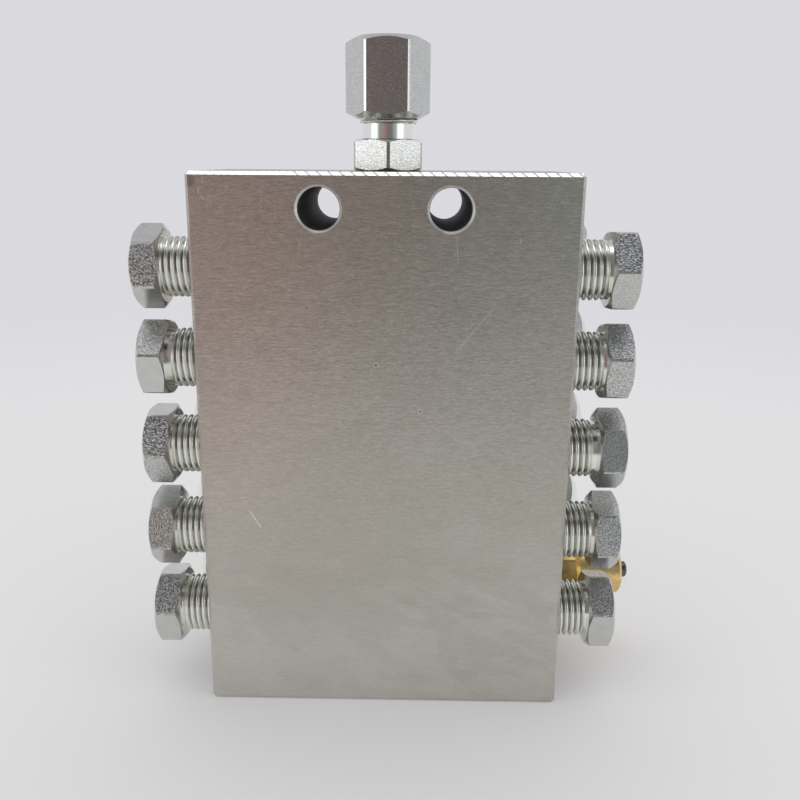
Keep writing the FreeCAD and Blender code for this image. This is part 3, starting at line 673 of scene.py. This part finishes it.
def union_screw(side, row):
    """A head that is chamfered at both ends, neck, thread, and a cone in the tip."""
    node = f"union_screw_{side}_{row}"
    neck, crest, facing = SCREWS[f"{side}_{row}"]
    place, hexagon, length = blank(node, INWARD[side], SCREW_FLATS)
    outer = (hexagon.radius - SCREW_FACE) * TAN_30
    under = SCREW_HEAD - (hexagon.radius - SCREW_SHOULDER) * TAN_30
    neck_end = SCREW_HEAD + neck
    skin = Skin()
    lathe(skin, hexagon, [(0, SCREW_FACE), (outer, hexagon.radius)], CONES)
    skin.strip(hexagon.angles, np.stack([outer, under]), hexagon.radius, hexagon.across,
               hexagon.flats)
    lathe(skin, hexagon, [(under, hexagon.radius), (SCREW_HEAD, SCREW_SHOULDER)], CONES)
    lathe(skin, hexagon, [(SCREW_HEAD, SCREW_SHOULDER), (SCREW_HEAD, SHANK), (neck_end, SHANK)])
    screw_thread(skin, hexagon, neck_end, length, crest=crest)
    lathe(skin, hexagon, [(length, CREST - TIP_CHAMFER), (length, SEAT_MOUTH),
                          (length - CONE_DEPTH, TUBE_BORE), (MOUTH_CHAMFER, TUBE_BORE),
                          (0, TUBE_BORE + MOUTH_CHAMFER), (0, SCREW_FACE)])
    cuts = flat_cuts(hexagon, place, facing, CORNER_TEAR)
    finished(skin, node, place, ZINC, cuts=cuts)


def closure_plug(side, row):
    """A crowned hexagon head, a short neck under the washer, and a thread."""
    node = f"closure_plug_{side}_{row}"
    place, hexagon, length = blank(node, INWARD[side], PLUG_FLATS)
    share = np.linspace(0, 1, CROWN_ROWS)[:, None]
    radius = share * hexagon.radius
    crown = PLUG_CROWN - np.sqrt(PLUG_CROWN ** 2 - radius ** 2)
    skin = Skin()
    skin.strip(hexagon.angles, crown, radius)
    skin.strip(hexagon.angles, np.stack([crown[-1], np.full_like(crown[-1], PLUG_HEAD)]),
               hexagon.radius, hexagon.across, hexagon.flats)
    lathe(skin, hexagon, [(PLUG_HEAD, hexagon.radius), (PLUG_HEAD, SHANK),
                          (PLUG_HEAD + WASHER_NECK, SHANK)])
    screw_thread(skin, hexagon, PLUG_HEAD + WASHER_NECK, length)
    lathe(skin, hexagon, [(length, CREST - TIP_CHAMFER), (length, 0)])
    cuts = flat_cuts(hexagon, place, [], PLUG_TEAR)
    cuts = {number: (PLUG_CUT * cut, lay) for number, (cut, lay) in cuts.items()}
    finished(skin, node, place, PLUG_ZINC, cuts=cuts)


def indicator():
    """Barrel, chamfered hexagon and thread, with the pin's bore and the O-ring's groove."""
    node = "indicator_housing"
    place, hexagon, length = blank(node, INWARD["right"], INDICATOR_FLATS)
    hex_end = BARREL_LENGTH + INDICATOR_HEX
    top = BARREL_LENGTH + (hexagon.radius - BARREL) * TAN_30
    groove = (RING_PLACE - RING_WIDTH / 2, RING_PLACE + RING_WIDTH / 2)
    skin = Skin()
    lathe(skin, hexagon, [(0, PIN_BORE), (0, BARREL - INDICATOR_CHAMFER), (INDICATOR_CHAMFER, BARREL),
                          (BARREL_LENGTH, BARREL), (top, hexagon.radius)])
    skin.strip(hexagon.angles, np.stack([top, np.full_like(top, hex_end)]), hexagon.radius,
               hexagon.across, hexagon.flats)
    lathe(skin, hexagon, [(hex_end, hexagon.radius), (hex_end, SHANK),
                          (hex_end + WASHER_NECK, SHANK)])
    screw_thread(skin, hexagon, hex_end + WASHER_NECK, length)
    lathe(skin, hexagon, [(length, CREST - TIP_CHAMFER), (length, PIN_BORE), (groove[1], PIN_BORE),
                          (groove[1], RING_GROOVE), (groove[0], RING_GROOVE),
                          (groove[0], PIN_BORE), (0, PIN_BORE)])
    finished(skin, node, place, BRASS)


def inlet_connector():
    """From its top down: thread with a cone seat, neck, hexagon, undercut and tapered stem."""
    node = "inlet_connector"
    place, hexagon, length = blank(node, DOWN, INLET_FLATS, INLET_CORNER)
    neck_start = INLET_TOP_THREAD
    hex_start = neck_start + INLET_NECK_LENGTH
    hex_end = hex_start + INLET_HEX
    chamfer = (hexagon.radius - INLET_FACE) * TAN_30
    stem = hex_end + INLET_UNDERCUT
    stop = SEAT_LENGTH + TUBE_STOP
    skin = Skin()
    # The thread is cut from the top, so it is drawn from below and turned over.
    flip = Skin()
    mirrored = Hexagon(INLET_FLATS, INLET_CORNER, -hexagon.first_corner)
    screw_thread(flip, mirrored, 0, INLET_TOP_THREAD)
    add_turned_over(skin, flip, INLET_TOP_THREAD)
    lathe(skin, hexagon, [(neck_start, ROOT), (neck_start + INLET_NECK_CHAMFER, INLET_NECK),
                          (hex_start, INLET_NECK), (hex_start, INLET_FACE),
                          (hex_start + chamfer, hexagon.radius)])
    skin.strip(hexagon.angles, np.stack([hex_start + chamfer, hex_end - chamfer]), hexagon.radius,
               hexagon.across, hexagon.flats)
    lathe(skin, hexagon, [(hex_end - chamfer, hexagon.radius), (hex_end, INLET_FACE),
                          (hex_end, INLET_NECK), (stem, INLET_NECK), (stem, SHANK)])
    screw_thread(skin, hexagon, stem, length)
    lathe(skin, hexagon, [(length, CREST - TIP_CHAMFER), (length, INLET_BORE), (stop, INLET_BORE),
                          (stop, TUBE_BORE), (SEAT_LENGTH, TUBE_BORE), (0, SEAT_MOUTH),
                          (0, CREST - TIP_CHAMFER)])
    cuts = flat_cuts(hexagon, place, INLET_CUTS, INLET_TEAR)
    finished(skin, node, place, ZINC, cuts=cuts)


def add_turned_over(skin, part, length):
    """Add strips that were drawn the other way along the axis: both the distance and the side
    change their signs, which keeps a right-hand thread right-handed."""
    for points, faces, uv, flats, depth in zip(part.points, part.faces, part.uv, part.flats,
                                               part.depth):
        turned = points * (1, -1, -1) + (0, 0, length)
        first = faces.min()
        skin.points.append(turned)
        skin.faces.append(faces - first + skin.count)
        skin.uv.append(uv)
        skin.flats.append(flats)
        skin.depth.append(depth)
        skin.count += len(points)


def tube_nut():
    """Six flats over its whole length, coned at both ends, over a thread bore and a cone."""
    node = "tube_nut"
    place, hexagon, length = blank(node, DOWN, NUT_FLATS)
    slope = (hexagon.radius - NUT_FACE) * TAN_30
    cone = length - NUT_CONE_FOOT
    skin = Skin()
    top = NUT_SHORT
    lathe(skin, hexagon, [(top, NUT_FACE), (top + slope, hexagon.radius)], CONES)
    skin.strip(hexagon.angles, np.stack([top + slope, length - slope]), hexagon.radius,
               hexagon.across, hexagon.flats)
    lathe(skin, hexagon, [(length - slope, hexagon.radius), (length, NUT_FACE)], CONES)
    lathe(skin, hexagon, [(length, NUT_FACE), (length, NUT_THREAD_BORE),
                          (cone - (SEAT_MOUTH - NUT_THREAD_BORE), NUT_THREAD_BORE),
                          (cone - CONE_DEPTH, TUBE_BORE), (top + MOUTH_CHAMFER, TUBE_BORE),
                          (top, TUBE_BORE + MOUTH_CHAMFER), (top, NUT_FACE)])
    cuts = flat_cuts(hexagon, place, NUT_CUTS, NUT_TEAR)
    finished(skin, node, place, ZINC, cuts=cuts)


for side in INWARD:
    for row in ROWS:
        union_screw(side, row)
        if f"closure_plug_{side}_{row}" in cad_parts:
            closure_plug(side, row)
indicator()
inlet_connector()
tube_nut()

NODE_FINISHES = {"block": BLOCK, "plug_washer": WASHER, "ferrule": FERRULE, "inlet_ferrule": FERRULE,
                 "piston": PISTON, "indicator_pin": PIN, "indicator_o_ring": RUBBER}
for name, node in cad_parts.items():
    for start, finish in NODE_FINISHES.items():
        if name.startswith(start):
            node.material_slots[0].material = finish


# Floor, backdrop, light and camera

BACKDROP = (0.70, 0.70, 0.735)
FLOOR_GLOW = 0.22           # the share of the backdrop's colour in the floor near the object: it glows there, painted light that lightens the object's shadow


def stage_colour():
    """The pale floor: mostly lit near the object, with a little glow that lightens the shadow, and
    the backdrop's own colour further out.
    """
    floor = Finish("pale_floor")
    spot = floor.node("ShaderNodeTexCoord")[3]
    away = floor.node("ShaderNodeVectorMath", {"operation": "LENGTH"}, {"Vector": spot})[1]
    lit = floor.node("ShaderNodeBsdfDiffuse", None, {"Color": (0.78, 0.77, 0.765, 1)})[0]
    plain = floor.node("ShaderNodeEmission", None, {"Color": (*BACKDROP, 1)})[0]
    share = away.rise(0.1, 0.5) * (1 - FLOOR_GLOW) + FLOOR_GLOW
    mixed = floor.node("ShaderNodeMixShader", None, {0: share, 1: lit, 2: plain})[0]
    floor.node("ShaderNodeOutputMaterial", None, {"Surface": mixed})
    return floor.made


def painted_reflection_card():
    """A glowing sheet under the lens that only reflections see: a painted reflection of the dark room
    in front, in the flat metal. The camera doesn't see it.
    """
    card = Finish("painted_reflection_card")
    x, _, z = card.place()[:3]
    # Its tones paint reflections: warm at the left, darker at the upper left, lighter at both ends
    tone = card.blend(x.rise(-58, 26), (0.38, 0.235, 0.205), (0.146, 0.158, 0.145))
    tone = card.blend(z.rise(100, 106) * x.rise(-40, -25), tone, (0.185, 0.15, 0.158))
    tone = card.blend(x.rise(-75, -84), tone, (0.26, 0.275, 0.275))
    tone = card.blend(x.rise(70, 82), tone, (0.33, 0.37, 0.38))
    glow = card.node("ShaderNodeEmission", None, {"Color": tone})[0]
    card.node("ShaderNodeOutputMaterial", None, {"Surface": glow})
    side, front, low, high = 0.15, -0.165, 0.02, 0.19
    corners = [(-side, front, low), (side, front, low), (side, front, high), (-side, front, high)]
    held = sheet("painted_reflection_card", corners, [(0, 1, 2, 3)], card.made)
    held.visible_camera = held.visible_diffuse = held.visible_shadow = False
    held.visible_transmission = False


def make_floor():
    radius = 4.0
    rings = np.linspace(0, 1, 12)[:, None] ** 2 * radius
    turn = np.linspace(0, FULL_TURN, 49)
    points = np.stack([rings * np.cos(turn), rings * np.sin(turn), 0 * rings + 0 * turn], -1)
    rows, columns = points.shape[:2]
    corner = np.arange(rows - 1)[:, None] * columns + np.arange(columns - 1)
    faces = np.stack([corner, corner + columns, corner + columns + 1, corner + 1], -1).reshape(-1, 4)
    floor = sheet("floor", points.reshape(-1, 3), faces.tolist(), stage_colour())


def make_world():
    """A pale room. Metal sees it too, a little darker in front, above the camera."""
    room = Finish("room", bpy.data.worlds)
    bpy.context.scene.world = room.made
    way = room.node("ShaderNodeTexCoord")[0]
    x, y, z = room.node("ShaderNodeSeparateXYZ", None, {"Vector": way})
    seen = room.node("ShaderNodeLightPath")
    camera, glossy, clear = seen[0], seen[3], seen[6]
    above = (0 - y).rise(0.1, 0.5) * z.rise(0.25, 0.5)
    light = z.rise(0.9, 0.97) * y.rise(-0.25, -0.05)
    shade = 1.08 - z.rise(0.2, 0.6) * 0.2 - above * (0.57 + x.rise(-0.05, 0.15) * 0.28) + light * 2.0
    reflected = room.node("ShaderNodeBackground", None, {"Color": (*BACKDROP, 1),
                                                         "Strength": shade})[0]
    backdrop = room.node("ShaderNodeBackground", None, {"Color": (*BACKDROP, 1),
                                                        "Strength": 1.0})[0]
    fill = room.node("ShaderNodeBackground", None, {"Color": (0.70, 0.70, 0.71, 1),
                                                    "Strength": 1.0})[0]
    lit = room.node("ShaderNodeMixShader", None, {0: glossy, 1: fill, 2: reflected})[0]
    both = room.node("ShaderNodeMixShader", None, {0: camera.most(clear), 1: lit, 2: backdrop})[0]
    room.node("ShaderNodeOutputWorld", None, {"Surface": both})


def area_lamp(name, place, target, size, power, mirrored=True):
    lamp = bpy.data.lights.new(name, "AREA")
    lamp.shape = "RECTANGLE"
    lamp.size, lamp.size_y = size
    lamp.energy = power
    holder = put(name, lamp)
    holder.location = place
    holder.visible_glossy = mirrored
    holder.rotation_euler = (Vector(target) - Vector(place)).to_track_quat("-Z", "Y").to_euler()


def make_camera():
    """The photo's viewpoint: a little above the block's top, looking down 15 degrees."""
    yaw, pitch, roll = math.radians(-0.88), math.radians(15.14), math.radians(0.41)
    place = Vector((4.05, -145.37, 91.65)) * MM
    ahead = Vector((math.sin(yaw) * math.cos(pitch), math.cos(yaw) * math.cos(pitch),
                    -math.sin(pitch)))
    level = Vector((math.cos(yaw), -math.sin(yaw), 0))
    up = level.cross(ahead)
    right = math.cos(roll) * level + math.sin(roll) * up
    camera = bpy.data.cameras.new("camera")
    camera.sensor_width = 36
    camera.lens = 38.34
    camera.shift_x = 0.0037
    camera.shift_y = -0.0109
    camera.clip_start = 0.005
    holder = put("camera", camera)
    turn = Matrix((right, right.cross(ahead), -ahead)).transposed()
    holder.matrix_world = Matrix.Translation(place) @ turn.to_4x4()
    bpy.context.scene.camera = holder


make_floor()
make_world()
painted_reflection_card()
area_lamp("overhead", (0.0, 0.1, 0.8), (0, 0, 0.04), (1.4, 1.2), 3.3, False)
area_lamp("left", (-0.62, -0.34, 0.10), (0, 0, 0.06), (0.32, 0.4), 0.5)
area_lamp("right", (0.62, -0.34, 0.10), (0, 0, 0.06), (0.32, 0.4), 0.42)
make_camera()
bpy.context.scene.view_settings.view_transform = "Standard"
